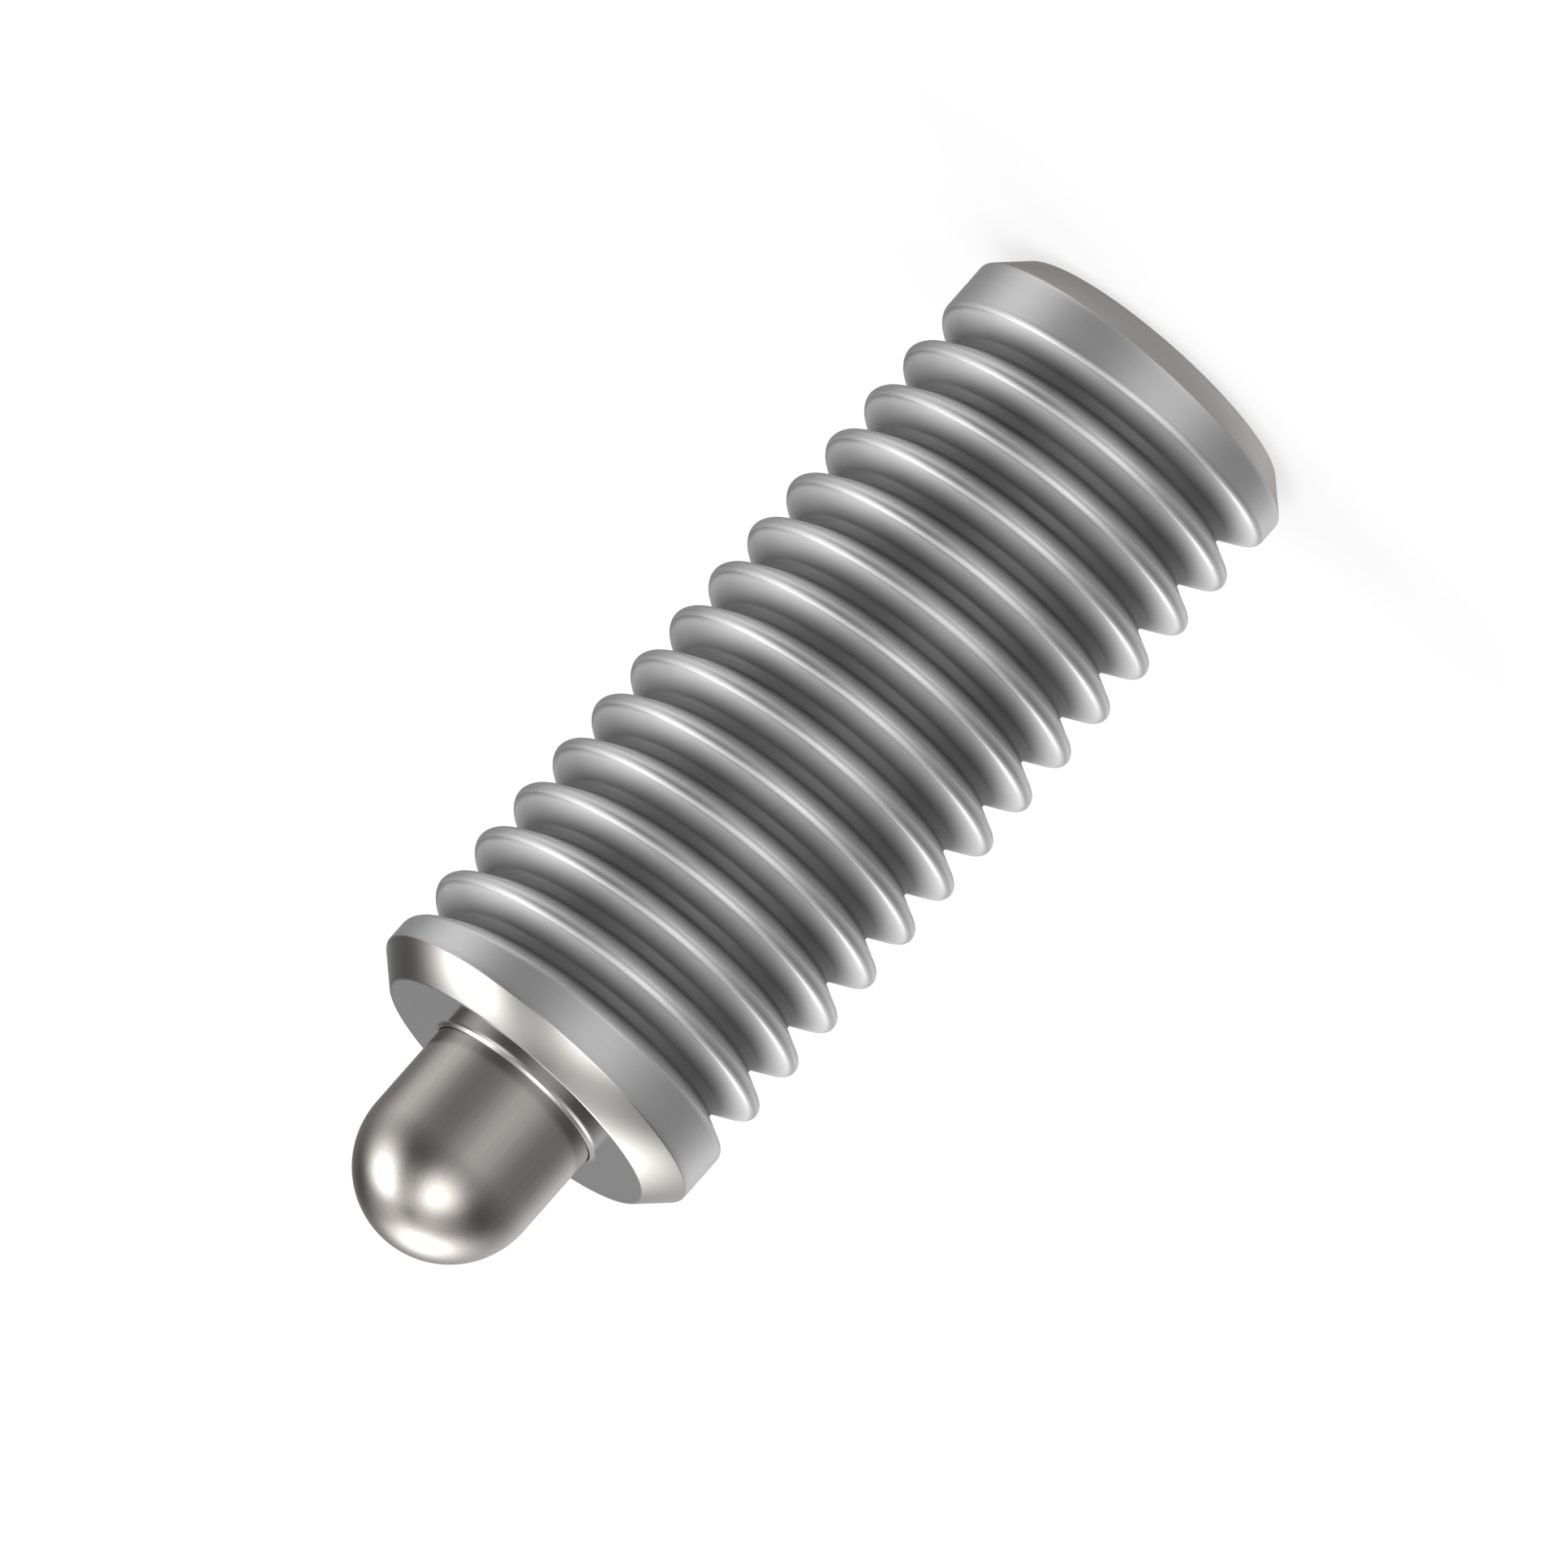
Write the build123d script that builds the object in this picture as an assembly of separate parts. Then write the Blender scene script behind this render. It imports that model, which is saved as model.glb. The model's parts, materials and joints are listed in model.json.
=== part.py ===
from build123d import *
import math
import os

# Spring plunger: a threaded body, a round-nosed pin that slides in it, and the spring behind the pin.
# All lengths are in millimetres. The axis is +Z, the nose points up,
# and the origin is the centre of the body's back face.

# Body. The 1/2-13 UNC thread is drawn as the cylinder over its crests.
thread_d = 12.7
body_length = 31.75
end_chamfer = 1.0
lip_length = 2.0
bead_height = 0.12
bead_slope = 0.15
bead_top = 0.05
chamber_d = 7.9
web_thickness = 1.3

# Hex socket in the back face: drilled, broached and countersunk
socket_flats = 6.35
socket_depth = 6.35
socket_drill_d = 6.45
socket_drill_extra = 0.5
drill_point_angle = 118.0
mouth_margin = 0.2
mouth_angle = 120.0

# Pin
nose_d = 6.35
nose_reach = 6.5
head_length = 3.0
head_chamfer = 0.3
spigot_length = 3.0
spigot_chamfer = 0.4

# Spring, with closed coils at both ends that are ground flat
wire_d = 0.9
wire_flat_count = 8
open_turns = 7.0
closed_turns = 1.25
ease_turns = 0.5
points_per_turn = 12
closed_gap = 0.07
ground_depth = 0.225

# Radial clearances
guide_clearance = 0.05
head_clearance = 0.075
spring_clearance = 0.2
spigot_clearance = 0.3

# Radii and heights that follow from the sizes above
thread_r = thread_d / 2
nose_r = nose_d / 2
guide_r = nose_r + guide_clearance
chamber_r = chamber_d / 2
head_r = chamber_r - head_clearance
coil_r = chamber_r - spring_clearance - wire_d / 2
spigot_r = coil_r - wire_d / 2 - spigot_clearance
drilled_depth = socket_depth + socket_drill_extra
drill_tip_z = drilled_depth + socket_drill_d / 2 / math.tan(math.radians(drill_point_angle / 2))
chamber_floor_z = drill_tip_z + web_thickness
shoulder_z = body_length - lip_length
head_back_z = shoulder_z - head_length
tip_z = body_length + nose_reach


def turned(*outline):
    """The solid turned about the Z axis from a closed half section in the XZ plane."""
    return revolve(make_face(Plane.XZ * Curve(outline)), axis=Axis.Z)


def half_section(*points):
    """A closed half section through (radius, height) points."""
    return Polyline(*points, close=True)


# Body

def bar():
    """The turned bar, chamfered at both ends, with the bead that is rolled in round the pin."""
    end_r = thread_r - end_chamfer
    bead_r = guide_r + bead_top
    bead_z = body_length + bead_height
    return turned(half_section(
        (0, 0),
        (end_r, 0),
        (thread_r, end_chamfer),
        (thread_r, body_length - end_chamfer),
        (end_r, body_length),
        (bead_r + bead_slope, body_length),
        (bead_r, bead_z),
        (0, bead_z),
    ))


def socket_space():
    """The hex socket: a drilled hole with its point, the broached hexagon and the countersunk mouth."""
    corner_r = socket_flats / math.sqrt(3)
    mouth_r = corner_r + mouth_margin
    mouth_depth = mouth_r / math.tan(math.radians(mouth_angle / 2))
    drilled = turned(half_section(
        (0, 0),
        (socket_drill_d / 2, 0),
        (socket_drill_d / 2, drilled_depth),
        (0, drill_tip_z),
    ))
    broached = extrude(RegularPolygon(corner_r, 6), socket_depth)
    mouth = turned(half_section((0, 0), (mouth_r, 0), (0, mouth_depth)))
    return drilled + broached + mouth


def chamber_space():
    """The flat-bottomed chamber for pin and spring, and the guide hole through the front lip."""
    return turned(half_section(
        (0, chamber_floor_z),
        (chamber_r, chamber_floor_z),
        (chamber_r, shoulder_z),
        (guide_r, shoulder_z),
        (guide_r, body_length + bead_height),
        (0, body_length + bead_height),
    ))


def make_body():
    return bar() - socket_space() - chamber_space()


# Pin

def make_pin():
    """The turned pin: round nose, head that stops under the lip, and the spigot inside the spring."""
    round_z = tip_z - nose_r
    spigot_z = head_back_z - spigot_length
    side = Polyline(
        (0, tip_z),
        (0, spigot_z),
        (spigot_r - spigot_chamfer, spigot_z),
        (spigot_r, spigot_z + spigot_chamfer),
        (spigot_r, head_back_z),
        (head_r - head_chamfer, head_back_z),
        (head_r, head_back_z + head_chamfer),
        (head_r, shoulder_z - head_chamfer),
        (head_r - head_chamfer, shoulder_z),
        (nose_r, shoulder_z),
        (nose_r, round_z),
    )
    nose = CenterArc((0, round_z), nose_r, 0, 90)
    return turned(side, nose)


# Spring

def eased(turns_past):
    """Turns past a change of pitch, with the change itself spread over ease_turns."""
    before = ease_turns / 2
    if turns_past <= -before:
        return 0.0
    if turns_past >= before:
        return turns_past
    return (turns_past + before) ** 2 / (2 * ease_turns)


def wire_centre(turn):
    """The centre of the wire after this many turns, from the closed coils through the open ones."""
    spring_length = head_back_z - chamber_floor_z
    closed_pitch = wire_d + closed_gap
    climb = spring_length - wire_d + 2 * ground_depth
    climb_of_open = climb - closed_pitch * (open_turns + 2 * closed_turns)
    share = (eased(turn - closed_turns) - eased(turn - closed_turns - open_turns)) / open_turns
    start_z = chamber_floor_z + wire_d / 2 - ground_depth
    angle = math.tau * turn
    return (
        coil_r * math.cos(angle),
        coil_r * math.sin(angle),
        start_z + closed_pitch * turn + climb_of_open * share,
    )


def make_spring():
    """The wire swept along its coil, ground flat where it seats on the chamber's floor and the head."""
    turns = open_turns + 2 * closed_turns
    steps = math.ceil(turns * points_per_turn)
    path = Spline(*[wire_centre(turns * step / steps) for step in range(steps + 1)])
    section = Plane(origin=path @ 0, z_dir=path % 0) * RegularPolygon(wire_d / 2, wire_flat_count)
    wire = sweep(section, path=path, is_frenet=True)
    ground = Pos(0, 0, chamber_floor_z) * Cylinder(
        chamber_r, head_back_z - chamber_floor_z, align=(Align.CENTER, Align.CENTER, Align.MIN)
    )
    return wire & ground


os.makedirs("parts", exist_ok=True)
export_step(make_body(), "parts/body.step")
export_step(make_pin(), "parts/plunger_pin.step")
export_step(make_spring(), "parts/spring.step")
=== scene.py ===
import json
import math

import bmesh
import bpy
from bpy.props import FloatProperty, FloatVectorProperty, IntProperty, PointerProperty
from mathutils import Matrix, Vector


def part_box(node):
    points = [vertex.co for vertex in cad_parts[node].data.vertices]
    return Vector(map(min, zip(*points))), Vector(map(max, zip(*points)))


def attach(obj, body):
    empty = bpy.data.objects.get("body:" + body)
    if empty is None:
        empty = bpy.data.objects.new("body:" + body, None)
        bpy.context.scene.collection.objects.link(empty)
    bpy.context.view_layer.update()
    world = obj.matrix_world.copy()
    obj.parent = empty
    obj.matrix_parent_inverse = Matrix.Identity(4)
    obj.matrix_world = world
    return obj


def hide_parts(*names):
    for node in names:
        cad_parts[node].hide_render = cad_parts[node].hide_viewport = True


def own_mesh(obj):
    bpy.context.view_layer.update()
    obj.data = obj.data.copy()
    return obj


bl_info = {
    "name": "Spring plunger",
    "version": (1, 0, 0),
    "blender": (4, 5, 0),
    "location": "View3D > Sidebar > Plunger",
    "description": "A threaded spring plunger with its pin and spring, dressed in turned and polished steel",
    "category": "Object",
}

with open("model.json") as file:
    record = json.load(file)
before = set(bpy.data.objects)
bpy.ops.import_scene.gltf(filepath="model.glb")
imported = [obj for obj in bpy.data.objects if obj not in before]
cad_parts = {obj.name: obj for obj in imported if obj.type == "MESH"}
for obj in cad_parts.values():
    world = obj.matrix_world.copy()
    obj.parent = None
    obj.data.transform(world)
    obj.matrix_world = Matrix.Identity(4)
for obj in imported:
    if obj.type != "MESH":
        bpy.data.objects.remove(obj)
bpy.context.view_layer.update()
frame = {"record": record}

MM = 0.001
INCH = 0.0254
mounts = {mount["name"]: mount for mount in frame["record"]["mounts"]}
thread_radius = mounts["thread"]["dims"]["r_mm"] * MM
nose_radius = mounts["nose"]["dims"]["r_mm"] * MM
socket_length = mounts["hex_socket"]["dims"]["length_mm"] * MM
front_face_z = mounts["front_face"]["pos_m"][2]
bead_top_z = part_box("body")[1].z
pin_low, pin_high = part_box("plunger_pin")
spring_low, spring_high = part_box("spring")


def length(name, description, default):
    """A length in metres that the sidebar shows in the scene's units."""
    return FloatProperty(
        name=name, description=description, default=default, min=0, precision=5, unit="LENGTH"
    )


def turn_angle(name, description, degrees):
    """An angle that is given in degrees and kept in radians."""
    return FloatProperty(
        name=name, description=description, default=math.radians(degrees), unit="ROTATION"
    )


def colour(name, description, default):
    """A colour that the sidebar shows as a swatch."""
    return FloatVectorProperty(
        name=name, description=description, default=default, min=0, max=1, size=3, subtype="COLOR"
    )


def share(name, description, default):
    """A number from 0 to 1 that the sidebar shows as a slider."""
    return FloatProperty(
        name=name, description=description, default=default, min=0, max=1, subtype="FACTOR"
    )


def number(name, description, default):
    """A plain number that isn't less than 0."""
    return FloatProperty(name=name, description=description, default=default, min=0)


def steps_each_turn(default):
    """How finely a turned shape is drawn."""
    return IntProperty(name="Steps", description="Steps to each turn", default=default, min=12)


class PlungerBodySizes(bpy.types.PropertyGroup):
    """Sizes of the threaded body."""

    thread_diameter: length("Thread diameter", "Over the crests", 2 * thread_radius)
    body_length: length("Length", "From the back face to the front face", front_face_z)
    thread_pitch: length("Pitch", "13 threads to the inch", INCH / 13)
    thread_depth: length("Thread depth", "From the crest to the root", 0.00112)
    crest_flat: length("Crest width", "Flat width of the crest before it is rounded", 0.00034)
    crest_round: length("Crest rounding", "How far the crest's edges are rounded back", 0.00016)
    root_flat: length("Root width", "Flat width of the root before it is rounded", 0.00036)
    root_round: length("Root rounding", "How far the root's corners are rounded back", 0.00013)
    end_chamfer: length("End chamfer", "45 degree chamfer at both ends", 0.001)
    edge_break: length("Edge break", "Rounding of the turned edges", 0.00005)
    bead_height: length("Bead height", "Of the bead rolled in round the pin", bead_top_z - front_face_z)
    bead_slope: length("Bead slope", "Width of the bead's slope", 0.00006)
    bead_top: length("Bead top", "Width of the bead's top", 0.00005)
    guide_clearance: length("Guide clearance", "Between the pin and its guide hole", 0.00003)
    chamber_diameter: length("Chamber diameter", "Bore for the head and the spring", 0.0079)
    socket_flats: length("Socket across flats", "Hex key size", 0.00635)
    socket_depth: length("Socket depth", "Depth of the flats", socket_length)
    socket_drill: length("Socket drill", "Diameter of the hole that the hexagon is broached in", 0.00645)
    socket_drill_extra: length("Drill depth", "How far the drill goes on past the flats", 0.0005)
    drill_point: turn_angle("Drill point", "Angle of the drill's point", 118)
    mouth_margin: length("Mouth margin", "How far the countersink reaches past the corners", 0.0002)
    mouth_angle: turn_angle("Mouth angle", "Angle of the countersink", 120)
    groove_count: IntProperty(name="Grooves", description="Grooves seen along the body", default=14, min=1)
    run_out: number("Run-out", "Turns over which the tool leaves the groove", 0.5)
    steps: steps_each_turn(128)


class PlungerPinSizes(bpy.types.PropertyGroup):
    """Sizes of the pin and of the spring behind it."""

    nose_diameter: length("Nose diameter", "Of the pin and its round end", 2 * nose_radius)
    head_diameter: length("Head diameter", "Of the head inside the chamber", pin_high.x - pin_low.x)
    lip_length: length("Lip length", "Thickness of the lip that stops the head", 0.002)
    head_chamfer: length("Head chamfer", "Chamfer at both ends of the head", 0.0003)
    spigot_clearance: length("Spigot clearance", "Between the spigot and the spring", 0.0003)
    spigot_chamfer: length("Spigot chamfer", "Chamfer at the spigot's end", 0.0004)
    wire_diameter: length("Wire diameter", "Of the spring's wire", 0.0009)
    spring_clearance: length("Spring clearance", "Between the spring and the chamber", 0.0002)
    closed_gap: length("Closed gap", "Between the closed coils", 0.00007)
    ground_depth: length("Ground depth", "How much of the wire is ground off at the ends", 0.000225)
    open_turns: number("Open turns", "Coils between the closed ones", 7.0)
    closed_turns: number("Closed turns", "Closed coils at each end", 1.25)
    ease_turns: number("Ease", "Turns over which the pitch changes", 0.5)
    steps: steps_each_turn(96)


class PlungerFinishes(bpy.types.PropertyGroup):
    """Colours and roughness of the steels."""

    # Lighter than the turned and faced steel: a painted lift that makes up for the light the flanks lose to
    # each other
    thread_colour: colour("Thread", "Rolled flanks and crests", (0.88, 0.88, 0.88))
    # The groove colour is oil and painted shade in the thread's root
    groove_oil_and_shade_colour: colour("Groove", "Oil-dark root of the thread", (0.32, 0.32, 0.32))
    turned_colour: colour("Turned steel", "Chamfers and bead", (0.60, 0.57, 0.545))
    faced_colour: colour("Faced steel", "Flat front and back faces", (0.59, 0.59, 0.587))
    pin_colour: colour("Pin", "Ground and polished pin", (0.60, 0.565, 0.535))
    bore_colour: colour("Bores", "Socket, chamber and guide hole", (0.34, 0.33, 0.32))
    spring_colour: colour("Spring", "Drawn spring wire", (0.40, 0.39, 0.37))
    # Painted shade on the crest's rounded corners, which dims their highlight
    crest_corner_shade: share("Crest dulling", "Tone of the crest's rounded corners", 0.8)
    crest_roughness: share("Crest roughness", "Added on the crest's rounded corners", 0.14)
    thread_roughness: share("Thread roughness", "Satin of the thread's crests", 0.32)
    flank_roughness: share("Flank roughness", "Added on the flanks", 0.24)
    turned_roughness: share("Turned roughness", "Bright turned faces", 0.14)
    faced_roughness: share("Faced roughness", "Flat faces", 0.15)
    back_roughness: share("Back roughness", "Back face and its chamfer, left as they were cut", 0.5)
    pin_roughness: share("Pin roughness", "Polished pin", 0.17)


class PlungerStudio(bpy.types.PropertyGroup):
    """Camera and light."""

    elevation: turn_angle("Elevation", "Camera's height above the horizon", 12.76)
    roll: turn_angle("Roll", "How far the picture is turned", 138.6)
    view_width: length("View width", "Width of the picture at the plunger", 0.050729)
    aim_height: length("Aim height", "Height on the axis at the picture's centre", 0.018219)
    aim_side: length("Aim side", "Distance of the picture's centre from the axis", 0.000077)
    shadow: share("Shadow", "How much of the floor's white comes from the lamps", 0.3)
    lamp_azimuth: turn_angle("Lamp azimuth", "Where the first lamp of the tent stands", -23.15)
    lamp_focus: number("Lamp focus", "How narrow the tent's lamps are", 1.5)
    lamp_level: number("Lamp level", "Brightness of the tent's lamps", 3.1)


# Shapes, drawn in millimetres

# Distances within which points are one, the thread's seam closes, a cut takes a point, and a ring is met
SAME_PLACE = 0.001
SEAM_GAP = 0.002
CUT_SNAP = 0.0005
RING_SLACK = 0.02

# Faces that meet at a smaller angle are smooth
SHARP_ANGLE = math.radians(28)


def everything(shape):
    """All points, edges and faces of a shape."""
    return shape.verts[:] + shape.edges[:] + shape.faces[:]


def only(kind, parts):
    """The points, the edges or the faces among these parts."""
    return [part for part in parts if isinstance(part, kind)]


def arc(centre, radius, start, end, steps):
    """Points along an arc in the (radius, height) plane, angles in degrees from the radius."""
    angles = [math.radians(start + (end - start) * step / steps) for step in range(steps + 1)]
    return [(centre[0] + radius * math.cos(a), centre[1] + radius * math.sin(a)) for a in angles]


def wire_outline(shape, points):
    """An open outline through (radius, height) points, as a chain of edges in the XZ plane."""
    corners = [shape.verts.new((radius, 0, height)) for radius, height in points]
    for first, second in zip(corners, corners[1:]):
        shape.edges.new((first, second))
    return corners


def spin_outline(shape, steps, turns=1.0, rise=0.0, closed=False):
    """Spins a shape's outline about the Z axis, while it rises by this much in all."""
    bmesh.ops.spin(
        shape, geom=shape.verts[:] + shape.edges[:], cent=(0, 0, 0), axis=(0, 0, 1),
        dvec=(0, 0, rise / steps), angle=math.tau * turns, steps=steps, use_merge=closed,
    )


def turned(points, steps):
    """A closed shape turned about the Z axis from an outline that starts and ends on the axis."""
    shape = bmesh.new()
    wire_outline(shape, points)
    spin_outline(shape, steps, closed=True)
    bmesh.ops.remove_doubles(shape, verts=shape.verts, dist=SAME_PLACE)
    bmesh.ops.recalc_face_normals(shape, faces=shape.faces)
    return shape


def cut_flat(shape, height, keep_above):
    """Cuts a shape level at this height and keeps what lies above it, or what lies below."""
    bmesh.ops.bisect_plane(
        shape, geom=everything(shape), dist=CUT_SNAP, plane_co=(0, 0, height), plane_no=(0, 0, 1),
        clear_inner=keep_above, clear_outer=not keep_above,
    )


def ring_edges(shape, radius, height):
    """The edges that lie on the circle of this radius at this height."""
    def on_ring(vert):
        return abs(vert.co.z - height) < RING_SLACK and abs(vert.co.xy.length - radius) < RING_SLACK

    return [edge for edge in shape.edges if on_ring(edge.verts[0]) and on_ring(edge.verts[1])]


def soften(shape, rings, width):
    """Rounds the edges on these (radius, height) circles."""
    edges = [edge for radius, height in rings for edge in ring_edges(shape, radius, height)]
    bmesh.ops.bevel(
        shape, geom=edges, offset=width, offset_type="OFFSET", segments=2, profile=0.5,
        affect="EDGES", material=-1,
    )


def helix_turn(around, height, pitch):
    """The turn of a helix that a point at this height is on, given its share of a turn."""
    return around + round(height / pitch - around)


def dress_mesh(shape):
    """Smooth faces, with sharp edges where they turn by the sharp angle or more."""
    for face in shape.faces:
        face.smooth = True
    for edge in shape.edges:
        edge.smooth = edge.is_manifold and edge.calc_face_angle(0) < SHARP_ANGLE


def make_piece(name, shape, materials):
    """A mesh object from a shape drawn in millimetres, in place in the frame."""
    dress_mesh(shape)
    bmesh.ops.scale(shape, vec=(MM, MM, MM), verts=shape.verts)
    mesh = bpy.data.meshes.new(name)
    shape.to_mesh(mesh)
    shape.free()
    for material in materials:
        mesh.materials.append(material)
    piece = bpy.data.objects.new(name, mesh)
    bpy.context.scene.collection.objects.link(piece)
    return piece


def cut_with(piece, tool):
    """Takes the tool's shape out of the piece for good."""
    cut = piece.modifiers.new("Cut", "BOOLEAN")
    cut.operation = "DIFFERENCE"
    cut.solver = "MANIFOLD"
    cut.object = tool
    bpy.context.view_layer.update()
    evaluated = piece.evaluated_get(bpy.context.evaluated_depsgraph_get())
    mesh = bpy.data.meshes.new_from_object(evaluated)
    piece.modifiers.remove(cut)
    old = piece.data
    piece.data = mesh
    bpy.data.meshes.remove(old)
    mesh.name = piece.name
    bpy.data.objects.remove(tool)


def sharpen(piece):
    """Marks the sharp edges again after the cuts."""
    shape = bmesh.new()
    shape.from_mesh(piece.data)
    dress_mesh(shape)
    shape.to_mesh(piece.data)
    shape.free()


def even_shading(piece):
    """Keeps large faces flat in shade beside their small rounded edges."""
    weighted = piece.modifiers.new("Even shading", "WEIGHTED_NORMAL")
    weighted.mode = "FACE_AREA"
    weighted.weight = 60
    weighted.keep_sharp = True


# Threaded body

THREAD, TURNED, FACED, BORE = range(4)

# Turns from the front at which the groove starts to run out
RUN_OUT_START = 0.27

# Share of the pitch from a groove's middle past which a point lies on the crest between two grooves
CREST_LINE = 0.499

# Room for the rounded edge between the thread and the chamfer, in edge breaks
EDGE_ROOM = 4

# Width of the narrow rings that keep the front face flat in shade between them, in edge breaks
FLAT_MARGIN = 2

# Millimetres below the back face at which the socket's cutting shapes start
BELOW = 1.0


def thread_section(shape, sizes):
    """One pitch of the thread's section, from crest to crest, with rounded crest and root corners."""
    crest_r = sizes.thread_diameter / 2 / MM
    root_r = crest_r - sizes.thread_depth / MM
    half_pitch = sizes.thread_pitch / 2 / MM
    crest = half_pitch - sizes.crest_flat / 2 / MM
    root = sizes.root_flat / 2 / MM
    corners = wire_outline(shape, [
        (crest_r, -half_pitch),
        (crest_r, -crest),
        (root_r, -root),
        (root_r, root),
        (crest_r, crest),
        (crest_r, half_pitch),
    ])
    for rounded, width, segments in (
        ((corners[1], corners[4]), sizes.crest_round, 4),
        ((corners[2], corners[3]), sizes.root_round, 3),
    ):
        bmesh.ops.bevel(
            shape, geom=list(rounded), offset=width / MM, offset_type="OFFSET", segments=segments,
            profile=0.5, affect="VERTICES", material=-1,
        )


def from_front(place):
    """Which share of a turn a point lies at, counted from -Y towards +X."""
    return math.atan2(place.x, -place.y) / math.tau


def groove_share(turn, sizes):
    """How much of its full depth the groove has at this turn: it runs out behind, at both ends."""
    past_end = max(-turn, turn - (sizes.groove_count - 1)) - RUN_OUT_START
    left = 1 - min(max(past_end / sizes.run_out, 0), 1)
    return left * left * (3 - 2 * left)


def run_out_grooves(shape, sizes, first_z):
    """Lifts the grooves out at both ends, and keeps their width, as a cutting tool leaves them."""
    pitch = sizes.thread_pitch / MM
    crest_r = sizes.thread_diameter / 2 / MM
    tool_width = sizes.root_flat / (sizes.thread_pitch - sizes.crest_flat)
    for vert in shape.verts:
        turn = helix_turn(from_front(vert.co), vert.co.z - first_z, pitch)
        groove_z = first_z + turn * pitch
        along = vert.co.z - groove_z
        kept = groove_share(turn, sizes)
        if kept == 1 or abs(along) > CREST_LINE * pitch:
            continue
        radius = vert.co.xy.length
        wide = (crest_r - (crest_r - radius) * kept) / radius
        along *= tool_width + (1 - tool_width) * kept
        vert.co = (vert.co.x * wide, vert.co.y * wide, groove_z + along)


def screw_surface(sizes):
    """The right-hand thread on a plain cylinder, open at both ends and longer than the body."""
    shape = bmesh.new()
    thread_section(shape, sizes)
    pitch = sizes.thread_pitch / MM
    first_z = (sizes.body_length / MM - (sizes.groove_count - 1) * pitch) / 2
    half_groove = 0.5
    turns_before = math.ceil(first_z / pitch + half_groove)
    turns = sizes.groove_count + 2 * turns_before
    facing = Matrix.Rotation(-math.pi / 2, 4, "Z")
    bmesh.ops.transform(shape, matrix=facing, verts=shape.verts)
    bmesh.ops.translate(shape, vec=(0, 0, first_z - turns_before * pitch), verts=shape.verts)
    spin_outline(shape, sizes.steps, rise=pitch)
    one_turn = everything(shape)
    for turn in range(1, turns):
        copied = bmesh.ops.duplicate(shape, geom=one_turn)["geom"]
        bmesh.ops.translate(shape, vec=(0, 0, turn * pitch), verts=only(bmesh.types.BMVert, copied))
    run_out_grooves(shape, sizes, first_z)
    bmesh.ops.remove_doubles(shape, verts=shape.verts, dist=SEAM_GAP)
    return shape


def trim(shape, height, keep_above, steps):
    """Cuts the shape level and returns its new rim, welded to one point for each step."""
    def at_rim(edge):
        return edge.is_boundary and all(abs(vert.co.z - height) < SAME_PLACE for vert in edge.verts)

    cut_flat(shape, height, keep_above)
    rim = [vert for vert in shape.verts if any(at_rim(edge) for edge in vert.link_edges)]
    places = {vert: from_front(vert.co) * steps for vert in rim}
    kept = {}
    doubles = {}
    for vert in sorted(rim, key=lambda vert: abs(places[vert] - round(places[vert]))):
        step = round(places[vert]) % steps
        if step in kept:
            doubles[vert] = kept[step]
        else:
            kept[step] = vert
    bmesh.ops.weld_verts(shape, targetmap=doubles)
    return [edge for edge in shape.edges if at_rim(edge)]


def carry_on(shape, rim, start_radius, outline):
    """Extrudes a rim through (radius, height, finish) points and returns the last rim."""
    radius = start_radius
    for next_radius, height, finish in outline:
        made = bmesh.ops.extrude_edge_only(shape, edges=rim)["geom"]
        rim = only(bmesh.types.BMEdge, made)
        verts = only(bmesh.types.BMVert, made)
        for face in only(bmesh.types.BMFace, made):
            face.material_index = finish
        wider = next_radius / radius
        bmesh.ops.scale(shape, vec=(wider, wider, 1), verts=verts)
        bmesh.ops.translate(shape, vec=(0, 0, height - verts[0].co.z), verts=verts)
        radius = next_radius
    return rim


def threaded_blank(sizes, pin_sizes):
    """The whole body but for its hex socket: thread, chamfers, bead, guide hole and chamber."""
    thread_r = sizes.thread_diameter / 2 / MM
    chamfer = sizes.end_chamfer / MM
    end_r = thread_r - chamfer
    top = sizes.body_length / MM
    guide_r = (pin_sizes.nose_diameter / 2 + sizes.guide_clearance) / MM
    bead_r = guide_r + sizes.bead_top / MM
    bead_z = top + sizes.bead_height / MM
    foot_r = bead_r + sizes.bead_slope / MM
    chamber_r = sizes.chamber_diameter / 2 / MM
    shoulder = top - pin_sizes.lip_length / MM
    floor = spring_low.z / MM
    edge_break = sizes.edge_break / MM
    bead_break = sizes.bead_top / 3 / MM
    flat_margin = FLAT_MARGIN * edge_break

    shape = screw_surface(sizes)
    back = trim(shape, chamfer + EDGE_ROOM * edge_break, True, sizes.steps)
    back = carry_on(shape, back, thread_r, [(thread_r, chamfer, THREAD)])
    front = trim(shape, top - chamfer - EDGE_ROOM * edge_break, False, sizes.steps)
    front = carry_on(shape, front, thread_r, [
        (thread_r, top - chamfer, THREAD),
        (end_r, top, TURNED),
        (end_r - flat_margin, top, FACED),
        (foot_r + flat_margin, top, FACED),
        (foot_r, top, FACED),
        (bead_r, bead_z, TURNED),
        (guide_r, bead_z, TURNED),
        (guide_r, shoulder, BORE),
        (chamber_r, shoulder, BORE),
        (chamber_r, floor, BORE),
    ])
    bmesh.ops.edgeloop_fill(shape, edges=front, mat_nr=BORE)
    back = carry_on(shape, back, thread_r, [(end_r, 0, TURNED)])
    bmesh.ops.edgeloop_fill(shape, edges=back, mat_nr=FACED)
    bmesh.ops.recalc_face_normals(shape, faces=shape.faces)
    end_rings = [(thread_r, chamfer), (end_r, 0), (thread_r, top - chamfer), (end_r, top)]
    soften(shape, end_rings, edge_break)
    soften(shape, [(foot_r, top), (bead_r, bead_z), (guide_r, bead_z)], bead_break)
    bmesh.ops.recalc_face_normals(shape, faces=shape.faces)
    return shape


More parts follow.
